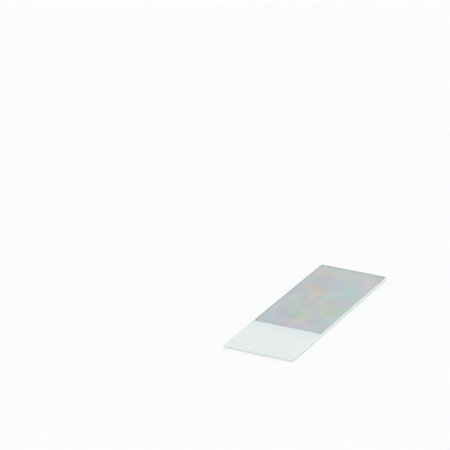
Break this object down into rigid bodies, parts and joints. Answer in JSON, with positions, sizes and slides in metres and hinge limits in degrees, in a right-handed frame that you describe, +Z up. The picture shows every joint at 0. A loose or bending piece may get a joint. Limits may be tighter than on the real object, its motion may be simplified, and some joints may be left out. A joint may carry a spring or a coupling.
{
  "type": "microscope slide",
  "caption": "Thin rectangular glass plate with ground bevelled edges, clear over most of its length and frosted at one end for writing.",
  "frame": {"origin": "centre of the lower face, the one the slide rests on", "axes": "+X along the slide from the frosted end to the clear end, +Y across it, +Z up out of the frosted face"},
  "size_m": [0.075, 0.025, 0.001],
  "materials": {
    "float_glass": "clear polished faces with a faint green cast in the edges, one end of the upper face frosted matt white, all edges and corners ground matt"
  },
  "bodies": {
    "root": {"glass_slide": "float_glass"}
  },
  "joints": []
}
